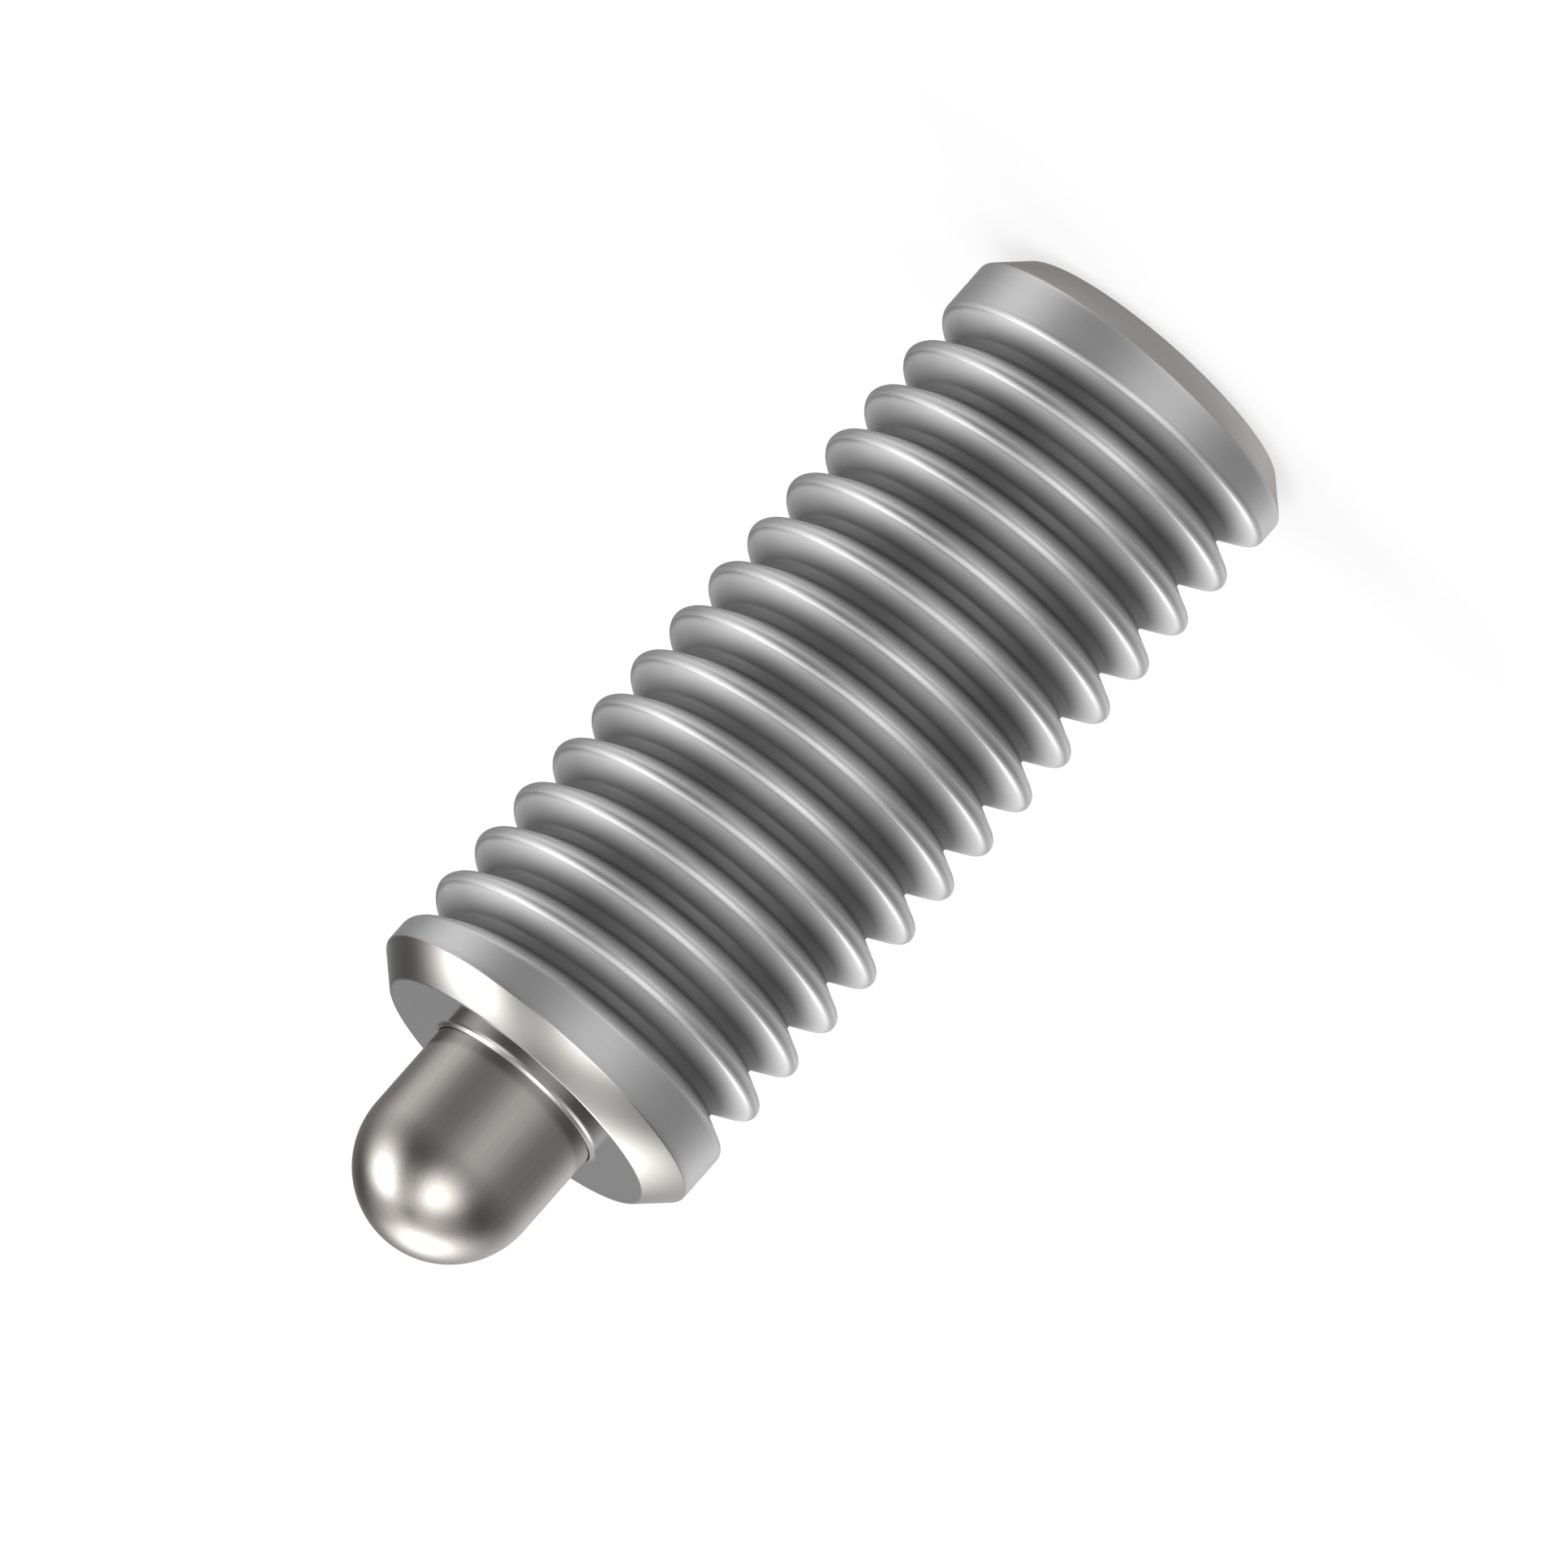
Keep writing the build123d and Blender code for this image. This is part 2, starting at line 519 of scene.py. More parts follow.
def socket_tools(sizes):
    """The hexagon, the drill and the countersink that cut the socket, one closed shape each."""
    corner_r = sizes.socket_flats / math.sqrt(3) / MM
    drill_r = sizes.socket_drill / 2 / MM
    drilled = (sizes.socket_depth + sizes.socket_drill_extra) / MM
    drill_tip = drilled + drill_r / math.tan(sizes.drill_point / 2)
    mouth_r = corner_r + sizes.mouth_margin / MM
    slope = math.tan(sizes.mouth_angle / 2)
    depth = sizes.socket_depth / MM + BELOW
    hexagon = bmesh.new()
    bmesh.ops.create_cone(
        hexagon, cap_ends=True, segments=6, radius1=corner_r, radius2=corner_r, depth=depth,
        matrix=Matrix.Translation((0, 0, depth / 2 - BELOW)) @ Matrix.Rotation(math.pi / 2, 4, "Z"),
    )
    drill = turned([(0, -BELOW), (drill_r, -BELOW), (drill_r, drilled), (0, drill_tip)], sizes.steps)
    mouth = turned([(0, -BELOW), (mouth_r + BELOW * slope, -BELOW), (0, mouth_r / slope)], sizes.steps)
    return [("hexagon", hexagon), ("drill", drill), ("countersink", mouth)]


class PLUNGER_OT_threaded_body(bpy.types.Operator):
    """Model the threaded body"""

    bl_idname = "plunger.threaded_body"
    bl_label = "Threaded body"

    def execute(self, context):
        sizes = context.scene.plunger_body
        finishes = context.scene.plunger_finishes
        materials = [
            thread_steel(finishes, sizes),
            turned_steel(finishes),
            faced_steel(finishes),
            bored_steel(finishes),
        ]
        piece = make_piece("threaded_body", threaded_blank(sizes, context.scene.plunger_pin), materials)
        for name, tool in socket_tools(sizes):
            for face in tool.faces:
                face.material_index = BORE
            cut_with(piece, make_piece(name, tool, materials))
        sharpen(piece)
        even_shading(piece)
        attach(piece, "housing")
        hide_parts("body")
        return {"FINISHED"}


# Pin

# Steps of the round nose from its tip to its side
NOSE_STEPS = 28


def coil_radius(body, sizes):
    """From the axis to the middle of the spring's wire, in metres."""
    return body.chamber_diameter / 2 - sizes.spring_clearance - sizes.wire_diameter / 2


def pin_outline(body, sizes):
    """The pin's outline from its round tip over the head to the spigot's end."""
    tip = pin_high.z / MM
    nose_r = sizes.nose_diameter / 2 / MM
    head_r = sizes.head_diameter / 2 / MM
    head_top = (body.body_length - sizes.lip_length) / MM
    head_back = spring_high.z / MM
    chamfer = sizes.head_chamfer / MM
    end = pin_low.z / MM
    spigot_r = (coil_radius(body, sizes) - sizes.wire_diameter / 2 - sizes.spigot_clearance) / MM
    spigot_chamfer = sizes.spigot_chamfer / MM
    return arc((0, tip - nose_r), nose_r, 90, 0, NOSE_STEPS) + [
        (nose_r, head_top),
        (head_r - chamfer, head_top),
        (head_r, head_top - chamfer),
        (head_r, head_back + chamfer),
        (head_r - chamfer, head_back),
        (spigot_r, head_back),
        (spigot_r, end + spigot_chamfer),
        (spigot_r - spigot_chamfer, end),
        (0, end),
    ]


class PLUNGER_OT_pin(bpy.types.Operator):
    """Model the round-nosed pin"""

    bl_idname = "plunger.pin"
    bl_label = "Pin"

    def execute(self, context):
        sizes = context.scene.plunger_pin
        shape = turned(pin_outline(context.scene.plunger_body, sizes), sizes.steps)
        piece = make_piece("round_nosed_pin", shape, [pin_steel(context.scene.plunger_finishes)])
        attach(piece, "plunger")
        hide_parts("plunger_pin")
        return {"FINISHED"}


# Spring

# Flats round the wire, and the share of the pin's steps that each coil takes
WIRE_SEGMENTS = 20
COIL_STEPS = 0.5


def eased(turns_past, ease):
    """Turns past a change of pitch, with the change spread over ease turns."""
    before = ease / 2
    if turns_past <= -before:
        return 0.0
    if turns_past >= before:
        return turns_past
    return (turns_past + before) ** 2 / (2 * ease)


def open_coils(shape, sizes, start_z, closed_pitch, climb):
    """Draws the middle turns of a closed coil apart, until its top has climbed by this much."""
    for vert in shape.verts:
        around = math.atan2(vert.co.y, vert.co.x) / math.tau
        turn = helix_turn(around, vert.co.z - start_z, closed_pitch)
        opened = eased(turn - sizes.closed_turns, sizes.ease_turns)
        opened -= eased(turn - sizes.closed_turns - sizes.open_turns, sizes.ease_turns)
        vert.co.z += climb * opened / sizes.open_turns


def coiled_wire(sizes, coil_r, low, high):
    """The round wire on its coil, closed at both ends and ground flat at low and high."""
    wire_r = sizes.wire_diameter / 2 / MM
    ground = sizes.ground_depth / MM
    closed_pitch = (sizes.wire_diameter + sizes.closed_gap) / MM
    turns = sizes.open_turns + 2 * sizes.closed_turns
    start_z = low + wire_r - ground
    climb = high - low - 2 * wire_r + 2 * ground - closed_pitch * turns
    shape = bmesh.new()
    section = Matrix.Translation((coil_r, 0, start_z)) @ Matrix.Rotation(math.pi / 2, 4, "X")
    bmesh.ops.create_circle(shape, cap_ends=False, segments=WIRE_SEGMENTS, radius=wire_r, matrix=section)
    spin_outline(shape, round(turns * sizes.steps * COIL_STEPS), turns, closed_pitch * turns)
    open_coils(shape, sizes, start_z, closed_pitch, climb)
    bmesh.ops.holes_fill(shape, edges=[edge for edge in shape.edges if edge.is_boundary], sides=0)
    for height, keep_above in ((low, True), (high, False)):
        cut_flat(shape, height, keep_above)
        bmesh.ops.edgenet_fill(shape, edges=[edge for edge in shape.edges if edge.is_boundary])
    bmesh.ops.recalc_face_normals(shape, faces=shape.faces)
    return shape


class PLUNGER_OT_spring(bpy.types.Operator):
    """Model the compression spring"""

    bl_idname = "plunger.spring"
    bl_label = "Spring"

    def execute(self, context):
        sizes = context.scene.plunger_pin
        coil_r = coil_radius(context.scene.plunger_body, sizes) / MM
        shape = coiled_wire(sizes, coil_r, spring_low.z / MM, spring_high.z / MM)
        piece = make_piece("coiled_spring", shape, [spring_steel(context.scene.plunger_finishes)])
        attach(piece, "housing")
        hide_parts("spring")
        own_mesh(piece)
        return {"FINISHED"}


# Shader nodes

# Most of a noise pattern's values lie in this range
NOISE_RANGE = (0.3, 0.7)


def feed(tree, socket, value):
    """Links a socket to another one, or sets it to a number or to a colour."""
    if isinstance(value, bpy.types.NodeSocket):
        tree.links.new(value, socket)
    elif isinstance(value, (int, float)):
        socket.default_value = value
    else:
        socket.default_value = (*value, 1)


def math_node(tree, operation, first, second=0.0):
    """A Math node of two numbers or sockets."""
    node = tree.nodes.new("ShaderNodeMath")
    node.operation = operation
    feed(tree, node.inputs[0], first)
    feed(tree, node.inputs[1], second)
    return node.outputs[0]


def mapped(tree, value, old_range, new_range, smooth=False):
    """A value mapped from one range to another."""
    node = tree.nodes.new("ShaderNodeMapRange")
    if smooth:
        node.interpolation_type = "SMOOTHSTEP"
    feed(tree, node.inputs["Value"], value)
    for name, amount in zip(("From Min", "From Max", "To Min", "To Max"), (*old_range, *new_range)):
        feed(tree, node.inputs[name], amount)
    return node.outputs["Result"]


def mixed(tree, blend, factor, first, second):
    """Two colours or sockets mixed by a factor."""
    node = tree.nodes.new("ShaderNodeMix")
    node.data_type = "RGBA"
    node.blend_type = blend
    feed(tree, node.inputs["Factor"], factor)
    feed(tree, node.inputs["A"], first)
    feed(tree, node.inputs["B"], second)
    return node.outputs["Result"]


def noise(tree, place, scale, detail):
    """Noise over a position."""
    node = tree.nodes.new("ShaderNodeTexNoise")
    feed(tree, node.inputs["Vector"], place)
    feed(tree, node.inputs["Scale"], scale)
    feed(tree, node.inputs["Detail"], detail)
    return node.outputs[0]


def noise_along(tree, distance, scale, detail):
    """Noise along a distance."""
    node = tree.nodes.new("ShaderNodeTexNoise")
    node.noise_dimensions = "1D"
    feed(tree, node.inputs["W"], distance)
    feed(tree, node.inputs["Scale"], scale)
    feed(tree, node.inputs["Detail"], detail)
    return node.outputs[0]


def place_in_mm(tree):
    """The position in the object's own space, in millimetres."""
    enlarge = tree.nodes.new("ShaderNodeVectorMath")
    enlarge.operation = "SCALE"
    enlarge.inputs["Scale"].default_value = 1 / MM
    feed(tree, enlarge.inputs[0], tree.nodes.new("ShaderNodeTexCoord").outputs["Object"])
    return enlarge.outputs[0]


def separated(tree, vector):
    """A vector's X, Y and Z."""
    node = tree.nodes.new("ShaderNodeSeparateXYZ")
    feed(tree, node.inputs[0], vector)
    return node.outputs


def from_axis(tree, parts):
    """The distance from the Z axis, from a position's X and Y."""
    squares = [math_node(tree, "POWER", parts[name], 2.0) for name in ("X", "Y")]
    return math_node(tree, "SQRT", math_node(tree, "ADD", *squares))


# Effects that the steels share

# Scales per millimetre of the rings' wander and of the bands, and the wander's width in millimetres
WANDER_SCALE = 0.6
BAND_SCALE = 1.3
WANDER_WIDTH = 0.15


def new_group(name, inputs, outputs):
    """An empty node group with these number inputs, by name and default, and these number outputs."""
    group = bpy.data.node_groups.new(name, "ShaderNodeTree")
    for socket, default in inputs.items():
        made = group.interface.new_socket(name=socket, in_out="INPUT", socket_type="NodeSocketFloat")
        made.default_value = default
    for socket in outputs:
        group.interface.new_socket(name=socket, in_out="OUTPUT", socket_type="NodeSocketFloat")
    return group, group.nodes.new("NodeGroupInput").outputs, group.nodes.new("NodeGroupOutput").inputs


def turning_marks_group():
    """Fine rings that a lathe tool leaves on cylinders, cones and faces alike."""
    if "Turning marks" in bpy.data.node_groups:
        return bpy.data.node_groups["Turning marks"]
    group, given, result = new_group("Turning marks", {"Rings per mm": 12.0}, ["Rings", "Bands"])
    place = place_in_mm(group)
    parts = separated(group, place)
    wander = math_node(group, "MULTIPLY", noise(group, place, WANDER_SCALE, detail=2), WANDER_WIDTH)
    along = math_node(group, "ADD", from_axis(group, parts), parts["Z"])
    along = math_node(group, "ADD", along, wander)
    feed(group, result["Rings"], noise_along(group, along, given["Rings per mm"], detail=1))
    feed(group, result["Bands"], noise_along(group, along, BAND_SCALE, detail=3))
    return group


def polish_group():
    """Fine streaks along the axis, as a polishing belt leaves them."""
    if "Polish streaks" in bpy.data.node_groups:
        return bpy.data.node_groups["Polish streaks"]
    group, given, result = new_group(
        "Polish streaks", {"Streaks per mm": 9.0, "Stretch": 0.04}, ["Streaks"]
    )
    parts = separated(group, place_in_mm(group))
    stretched = group.nodes.new("ShaderNodeCombineXYZ")
    feed(group, stretched.inputs["X"], parts["X"])
    feed(group, stretched.inputs["Y"], parts["Y"])
    feed(group, stretched.inputs["Z"], math_node(group, "MULTIPLY", parts["Z"], given["Stretch"]))
    streaks = noise(group, stretched.outputs[0], given["Streaks per mm"], detail=3)
    feed(group, result["Streaks"], streaks)
    return group


def handling_group():
    """Soft patches where handling has dulled the steel."""
    if "Handling" in bpy.data.node_groups:
        return bpy.data.node_groups["Handling"]
    group, given, result = new_group("Handling", {"Patches per mm": 0.35}, ["Patches"])
    patches = noise(group, place_in_mm(group), given["Patches per mm"], detail=4)
    feed(group, result["Patches"], patches)
    return group


def placed(tree, group, values):
    """A group placed in a material, with its own values for the group's inputs."""
    node = tree.nodes.new("ShaderNodeGroup")
    node.node_tree = group
    for name, value in values.items():
        feed(tree, node.inputs[name], value)
    return node.outputs


# Steels

# The groove's oil and painted shade fade out at this share of its depth, give or take this many millimetres
OIL_AND_SHADE_END = 0.06
OIL_AND_SHADE_WANDER = 0.06

# Millimetres from the crest to its rounded corner, and from the corner to where its painted shade and added
# roughness are full and gone
CORNER_DEPTH = 0.06
CORNER_FADE = (0.02, 0.07)

# Millimetres below the crest at which the flank's dull finish is full and gone
FLANK_FADE = (0.3, 0.08)

# Heights in millimetres at which the back end's finish, left as it was cut, is full and gone
AS_CUT_FADE = (1.5, 2.5)


def new_material(name, roughness):
    """A metal, its node tree and the inputs of its Principled shader."""
    material = bpy.data.materials.new(name)
    material.use_nodes = True
    tree = material.node_tree
    metal = tree.nodes["Principled BSDF"].inputs
    feed(tree, metal["Metallic"], 1.0)
    feed(tree, metal["Roughness"], roughness)
    return material, tree, metal


def varied(tree, base, pattern, darkest):
    """A colour that is darkened to this share of itself where the pattern is low."""
    return mixed(tree, "MULTIPLY", 1.0, base, mapped(tree, pattern, NOISE_RANGE, (darkest, 1.0)))


def handled(tree, patches, roughness, smoother, duller):
    """Roughness that handling has made less in some patches and more in others."""
    return mapped(tree, patches, NOISE_RANGE, (roughness - smoother, roughness + duller))


def bump(tree, metal, height, depth):
    """Bump of this depth in millimetres."""
    node = tree.nodes.new("ShaderNodeBump")
    feed(tree, node.inputs["Strength"], 1.0)
    feed(tree, node.inputs["Distance"], depth * MM)
    feed(tree, node.inputs["Height"], height)
    feed(tree, metal["Normal"], node.outputs["Normal"])


def thread_steel(finishes, sizes):
    """Satin rolled thread, dullest on its flanks, with painted shade on its crest's rounded corners, dark
    with oil and painted shade towards its root, and lifted in colour as painted light for what its flanks
    lose to each other.
    """
    material, tree, metal = new_material("Rolled thread steel", finishes.thread_roughness)
    marks = placed(tree, turning_marks_group(), {"Rings per mm": 10.0})
    patches = placed(tree, handling_group(), {"Patches per mm": 0.35})["Patches"]
    radius = from_axis(tree, separated(tree, place_in_mm(tree)))
    crest_r = sizes.thread_diameter / 2 / MM
    depth = sizes.thread_depth / MM

    # Oil and painted shade: the colour darkens towards the thread's root, where the groove's shade falls
    uneven = math_node(tree, "ADD", radius, mapped(tree, patches, NOISE_RANGE, (-OIL_AND_SHADE_WANDER, OIL_AND_SHADE_WANDER)))
    clear_of_oil_and_shade = mapped(tree, uneven, (crest_r - depth, crest_r - OIL_AND_SHADE_END * depth), (0.0, 1.0))
    from_corner = math_node(tree, "SUBTRACT", radius, crest_r - CORNER_DEPTH)
    from_corner = math_node(tree, "ABSOLUTE", from_corner)
    # Painted shade that dims the highlight on the crest's rounded corners
    corner_painted_shade = mapped(tree, from_corner, CORNER_FADE, (finishes.crest_corner_shade, 1.0), smooth=True)
    # The thread colour carries a painted lift for the light its flanks lose to each other
    tone = mixed(tree, "MIX", clear_of_oil_and_shade, finishes.groove_oil_and_shade_colour, finishes.thread_colour)
    tone = mixed(tree, "MULTIPLY", 1.0, tone, corner_painted_shade)
    feed(tree, metal["Base Color"], varied(tree, tone, marks["Bands"], darkest=0.94))

    flank = [crest_r - below_crest for below_crest in FLANK_FADE]
    corner_rough = mapped(tree, from_corner, CORNER_FADE, (finishes.crest_roughness, 0.0), smooth=True)
    flank_rough = mapped(tree, radius, flank, (finishes.flank_roughness, 0.0), smooth=True)
    rough = handled(tree, patches, finishes.thread_roughness, smoother=0.03, duller=0.05)
    rough = math_node(tree, "ADD", rough, math_node(tree, "MAXIMUM", corner_rough, flank_rough))
    feed(tree, metal["Roughness"], rough)
    bump(tree, metal, marks["Rings"], depth=0.0008)
    return material


def lathe_steel(name, tint, roughness, back_roughness, uneven):
    """Steel with the lathe's fine rings, uneven from handling and duller at the body's back end."""
    material, tree, metal = new_material(name, roughness)
    marks = placed(tree, turning_marks_group(), {"Rings per mm": 14.0})
    patches = placed(tree, handling_group(), {"Patches per mm": 0.35})["Patches"]
    feed(tree, metal["Base Color"], varied(tree, tint, marks["Bands"], darkest=0.95))
    height = separated(tree, place_in_mm(tree))["Z"]
    as_cut = mapped(tree, height, AS_CUT_FADE, (back_roughness - roughness, 0.0))
    rough = handled(tree, patches, roughness, smoother=uneven, duller=uneven)
    feed(tree, metal["Roughness"], math_node(tree, "ADD", rough, as_cut))
    bump(tree, metal, marks["Rings"], depth=0.0004)
    return material


def turned_steel(finishes):
    """Bright chamfers and bead."""
    return lathe_steel(
        "Bright turned steel", finishes.turned_colour, finishes.turned_roughness,
        finishes.back_roughness, uneven=0.035,
    )


def faced_steel(finishes):
    """Flat faces, a little duller than the chamfers."""
    return lathe_steel(
        "Faced steel", finishes.faced_colour, finishes.faced_roughness,
        finishes.back_roughness, uneven=0.01,
    )


def pin_steel(finishes):
    """Hardened pin, ground and polished along its length."""
    material, tree, metal = new_material("Polished pin steel", finishes.pin_roughness)
    streaks = placed(tree, polish_group(), {"Streaks per mm": 9.0, "Stretch": 0.04})["Streaks"]
    patches = placed(tree, handling_group(), {"Patches per mm": 0.35})["Patches"]
    feed(tree, metal["Base Color"], varied(tree, finishes.pin_colour, streaks, darkest=0.93))
    rough = handled(tree, patches, finishes.pin_roughness, smoother=0.03, duller=0.04)
    feed(tree, metal["Roughness"], rough)
    bump(tree, metal, streaks, depth=0.0004)
    return material


def bored_steel(finishes):
    """Drilled and broached inside surfaces, duller than the outside."""
    material, tree, metal = new_material("Bored steel", roughness=0.4)
    marks = placed(tree, turning_marks_group(), {"Rings per mm": 5.0})
    feed(tree, metal["Base Color"], varied(tree, finishes.bore_colour, marks["Bands"], darkest=0.75))
    bump(tree, metal, marks["Rings"], depth=0.003)
    return material


def spring_steel(finishes):
    """Drawn wire with a thin film of oil."""
    material, tree, metal = new_material("Drawn spring wire", roughness=0.3)
    patches = placed(tree, handling_group(), {"Patches per mm": 1.2})["Patches"]
    feed(tree, metal["Base Color"], varied(tree, finishes.spring_colour, patches, darkest=0.75))
    bump(tree, metal, patches, depth=0.002)
    return material


# Studio

FLOOR_SIZE = 3
PAPER_WHITE = (0.9, 0.9, 0.9)
AMBIENT_LIGHT = 0.35
CAMERA_DISTANCE = 0.2

# Azimuths of the softboxes and what they share, angles in degrees
SOFTBOXES = {"softbox_front": -22, "softbox_right": 98, "softbox_left": -142}
SOFTBOX_ELEVATION = 47
SOFTBOX_SPREAD = 60
SOFTBOX_STRENGTH = 1.35

# The tent's lamps stand evenly round the plunger, but for a shift that grows away from one side
TENT_LAMPS = 3
LAMP_SHIFT = math.radians(17)
UNSHIFTED_SIDE = math.radians(75.9)

# Those on one side are brightest, and those opposite dimmest
BRIGHTEST_SIDE = math.radians(140)
DIM_TO_BRIGHT = (0.74, 1.1)

# Light of the lamps and the cloth by height: 0 is straight below, 0.5 the horizon and 1 straight above
LAMP_LEVELS = (
    (0.0, 0.0), (0.12, 0.0), (0.24, 0.32), (0.33, 0.16), (0.45, 0.18), (0.56, 0.09),
    (0.66, 0.4), (0.75, 1.0), (0.84, 0.6), (0.91, 0.0), (1.0, 0.0),
)
CLOTH_LEVELS = (
    (0.0, 0.5), (0.12, 0.45), (0.24, 0.26), (0.36, 0.24), (0.45, 0.26),
    (0.6, 0.09), (0.7, 0.14), (0.82, 0.65), (0.92, 0.85), (1.0, 0.3),
)


def direction(azimuth, elevation):
    """A unit vector from the plunger, in radians. Azimuth 0 is the camera's side, a quarter turn is +X."""
    flat = math.cos(elevation)
    return Vector((math.sin(azimuth) * flat, -math.cos(azimuth) * flat, math.sin(elevation)))


def aimed_from(towards):
    """The rotation of a lamp or camera that stands in this direction and points at the plunger."""
    return towards.to_track_quat("Z", "Y")


def stage_object(name, shape, material):
    """A mesh object of the studio, which isn't part of the plunger."""
    mesh = bpy.data.meshes.new(name)
    shape.to_mesh(mesh)
    shape.free()
    mesh.materials.append(material)
    thing = bpy.data.objects.new(name, mesh)
    bpy.context.scene.collection.objects.link(thing)
    return thing


def stage_material(name):
    """A material with nothing in it yet, its node tree and its output's surface."""
    material = bpy.data.materials.new(name)
    material.use_nodes = True
    tree = material.node_tree
    tree.nodes.clear()
    return material, tree, tree.nodes.new("ShaderNodeOutputMaterial").inputs["Surface"]


def shader_mix(tree, factor, first, second):
    """Two shaders mixed by a factor."""
    node = tree.nodes.new("ShaderNodeMixShader")
    for socket, value in zip(node.inputs, (factor, first.outputs[0], second.outputs[0])):
        feed(tree, socket, value)
    return node


def background_rays(tree):
    """1 for the rays that show the white background, and 0 for the rays that carry light."""
    rays = tree.nodes.new("ShaderNodeLightPath").outputs
    seen = math_node(tree, "MAXIMUM", rays["Is Camera Ray"], rays["Is Glossy Ray"])
    return math_node(tree, "MAXIMUM", seen, rays["Is Transmission Ray"])


def floor_material(shadow):
    """White paper: part of its white is its own, so that it stays white and keeps a soft shadow."""
    material, tree, surface = stage_material("White paper")
    paper = tree.nodes.new("ShaderNodeBsdfDiffuse")
    feed(tree, paper.inputs["Color"], PAPER_WHITE)
    white = tree.nodes.new("ShaderNodeEmission")
    see_through = tree.nodes.new("ShaderNodeBsdfTransparent")
    own_white = math_node(tree, "MULTIPLY", background_rays(tree), 1 - shadow)
    lit = shader_mix(tree, own_white, paper, white)
    from_below = tree.nodes.new("ShaderNodeNewGeometry").outputs["Backfacing"]
    feed(tree, surface, shader_mix(tree, from_below, lit, see_through).outputs[0])
    return material


def add_floor(studio):
    """The white floor. The light tent takes its place in the steel's reflections."""
    shape = bmesh.new()
    bmesh.ops.create_grid(shape, x_segments=1, y_segments=1, size=FLOOR_SIZE)
    floor = stage_object("paper_floor", shape, floor_material(studio.shadow))
    floor.visible_glossy = False


def level_curve(tree, height, stops):
    """A value read off a smooth curve over (height, level) stops."""
    ramp = tree.nodes.new("ShaderNodeValToRGB")
    ramp.color_ramp.interpolation = "B_SPLINE"
    points = ramp.color_ramp.elements
    heights, levels = zip(*stops)
    points[0].position = heights[0]
    points[1].position = heights[-1]
    for stop_height in heights[1:-1]:
        points.new(stop_height)
    for point, level in zip(points, levels):
        point.color = (level, level, level, 1)
    feed(tree, ramp.inputs["Fac"], height)
    return ramp.outputs["Color"]


def lamps_around(tree, azimuth, studio):
    """How much light the tent's lamps give at this azimuth."""
    shift = math_node(tree, "SINE", math_node(tree, "SUBTRACT", azimuth, UNSHIFTED_SIDE))
    shift = math_node(tree, "MULTIPLY", shift, LAMP_SHIFT)
    around = math_node(tree, "SUBTRACT", azimuth, studio.lamp_azimuth)
    around = math_node(tree, "ADD", math_node(tree, "MULTIPLY", around, TENT_LAMPS), shift)
    facing = mapped(tree, math_node(tree, "COSINE", around), (-1.0, 1.0), (0.0, 1.0))
    facing = math_node(tree, "POWER", facing, studio.lamp_focus)
    side = math_node(tree, "COSINE", math_node(tree, "SUBTRACT", azimuth, BRIGHTEST_SIDE))
    return math_node(tree, "MULTIPLY", facing, mapped(tree, side, (-1.0, 1.0), DIM_TO_BRIGHT))


def tent_material(studio):
    """The cloth of the light tent, with soft lamps behind it and darker cloth between them."""
    material, tree, surface = stage_material("Light tent")
    outwards = tree.nodes.new("ShaderNodeVectorMath")
    outwards.operation = "NORMALIZE"
    feed(tree, outwards.inputs[0], tree.nodes.new("ShaderNodeTexCoord").outputs["Object"])
    parts = separated(tree, outwards.outputs[0])
    azimuth = math_node(tree, "ARCTAN2", parts["X"], math_node(tree, "MULTIPLY", parts["Y"], -1.0))
    height = math_node(tree, "DIVIDE", math_node(tree, "ARCSINE", parts["Z"]), math.pi / 2)
    height = mapped(tree, height, (-1.0, 1.0), (0.0, 1.0))
    lamps = math_node(
        tree, "MULTIPLY", level_curve(tree, height, LAMP_LEVELS), lamps_around(tree, azimuth, studio)
    )
    lamps = math_node(tree, "MULTIPLY", lamps, studio.lamp_level)
    glow = tree.nodes.new("ShaderNodeEmission")
    cloth = level_curve(tree, height, CLOTH_LEVELS)
    feed(tree, glow.inputs["Strength"], math_node(tree, "ADD", lamps, cloth))
    feed(tree, surface, glow.outputs[0])
    return material


def add_tent(studio):
    """The light tent round the plunger, which shows only in the steel."""
    shape = bmesh.new()
    bmesh.ops.create_icosphere(shape, subdivisions=4, radius=1)
    bmesh.ops.reverse_faces(shape, faces=shape.faces)
    tent = stage_object("light_tent", shape, tent_material(studio))
    tent.visible_camera = False
    tent.visible_diffuse = False
    tent.visible_transmission = False
    tent.visible_shadow = False


def add_softbox(name, azimuth):
    """A far softbox that throws the plunger's soft shadow."""
    light = bpy.data.lights.new(name, "SUN")
    light.energy = SOFTBOX_STRENGTH
    light.angle = math.radians(SOFTBOX_SPREAD)
    lamp = bpy.data.objects.new(name, light)
    towards = direction(math.radians(azimuth), math.radians(SOFTBOX_ELEVATION))
    lamp.rotation_euler = aimed_from(towards).to_euler()
    lamp.visible_camera = False
    lamp.visible_glossy = False
    bpy.context.scene.collection.objects.link(lamp)


def white_world():
    """A world that shows as white and gives a low, even light."""
    world = bpy.data.worlds.new("White studio")
    bpy.context.scene.world = world
    world.use_nodes = True
    tree = world.node_tree
    tree.nodes.clear()
    ambient = tree.nodes.new("ShaderNodeBackground")
    white = tree.nodes.new("ShaderNodeBackground")
    for background, strength in ((ambient, AMBIENT_LIGHT), (white, 1.0)):
        feed(tree, background.inputs["Color"], (1, 1, 1))
        feed(tree, background.inputs["Strength"], strength)
    shown = shader_mix(tree, background_rays(tree), ambient, white)
    feed(tree, tree.nodes.new("ShaderNodeOutputWorld").inputs["Surface"], shown.outputs[0])


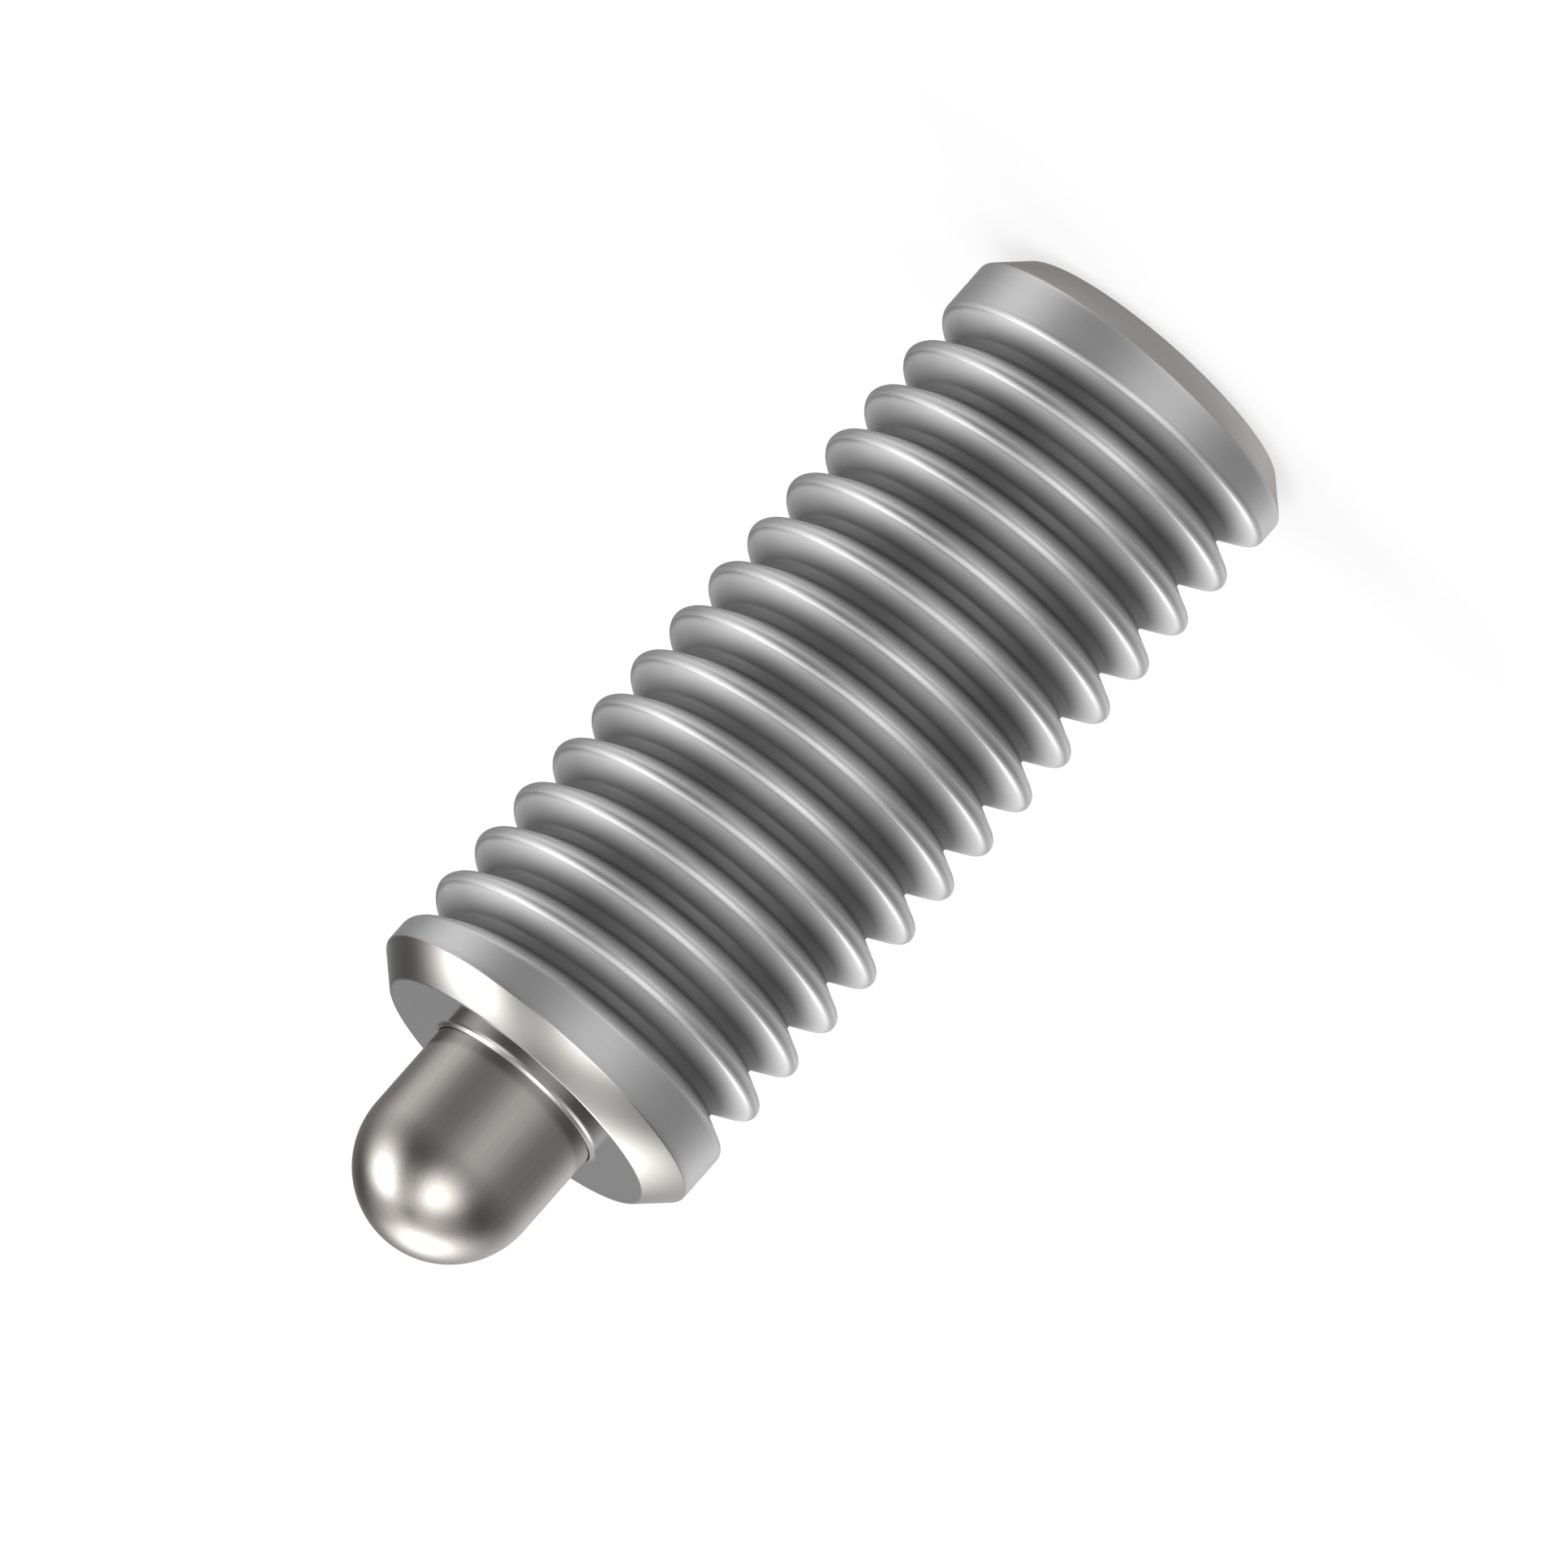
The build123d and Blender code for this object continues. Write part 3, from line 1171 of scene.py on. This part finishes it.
def add_camera(studio):
    """A camera with no perspective, rolled so that the plunger lies across the picture."""
    camera_data = bpy.data.cameras.new("Camera")
    camera_data.type = "ORTHO"
    camera_data.ortho_scale = studio.view_width
    camera_data.clip_start = 0.001
    camera_data.clip_end = 10
    camera = bpy.data.objects.new("Camera", camera_data)
    towards = direction(0, studio.elevation)
    rolled = aimed_from(towards) @ Matrix.Rotation(-studio.roll, 3, "Z").to_quaternion()
    camera.location = Vector((studio.aim_side, 0, studio.aim_height)) + towards * CAMERA_DISTANCE
    camera.rotation_euler = rolled.to_euler()
    bpy.context.scene.collection.objects.link(camera)
    bpy.context.scene.camera = camera


class PLUNGER_OT_studio(bpy.types.Operator):
    """Set the white floor, the light tent, the softboxes and the camera"""

    bl_idname = "plunger.studio"
    bl_label = "Studio"

    def execute(self, context):
        studio = context.scene.plunger_studio
        context.scene.view_settings.view_transform = "Standard"
        add_floor(studio)
        white_world()
        add_tent(studio)
        for name, azimuth in SOFTBOXES.items():
            add_softbox(name, azimuth)
        add_camera(studio)
        return {"FINISHED"}


# Sidebar and registration

class PLUNGER_PT_sidebar(bpy.types.Panel):
    """Sizes, finishes and the steps that make the plunger"""

    bl_label = "Spring plunger"
    bl_idname = "PLUNGER_PT_sidebar"
    bl_space_type = "VIEW_3D"
    bl_region_type = "UI"
    bl_category = "Plunger"

    def draw(self, context):
        column = self.layout.column()
        for operator in OPERATORS:
            column.operator(operator.bl_idname)
        for group in GROUPS:
            column.separator()
            values = getattr(context.scene, group)
            for name in values.bl_rna.properties.keys():
                if name not in ("rna_type", "name"):
                    column.prop(values, name)


GROUPS = {
    "plunger_body": PlungerBodySizes,
    "plunger_pin": PlungerPinSizes,
    "plunger_finishes": PlungerFinishes,
    "plunger_studio": PlungerStudio,
}
OPERATORS = (PLUNGER_OT_threaded_body, PLUNGER_OT_pin, PLUNGER_OT_spring, PLUNGER_OT_studio)


def register():
    for cls in (*GROUPS.values(), *OPERATORS, PLUNGER_PT_sidebar):
        bpy.utils.register_class(cls)
    for name, cls in GROUPS.items():
        setattr(bpy.types.Scene, name, PointerProperty(type=cls))


def unregister():
    for name in GROUPS:
        delattr(bpy.types.Scene, name)
    for cls in reversed((*GROUPS.values(), *OPERATORS, PLUNGER_PT_sidebar)):
        bpy.utils.unregister_class(cls)


def main():
    register()
    bpy.ops.plunger.studio()
    bpy.ops.plunger.threaded_body()
    bpy.ops.plunger.pin()
    bpy.ops.plunger.spring()


if __name__ == "__main__":
    main()
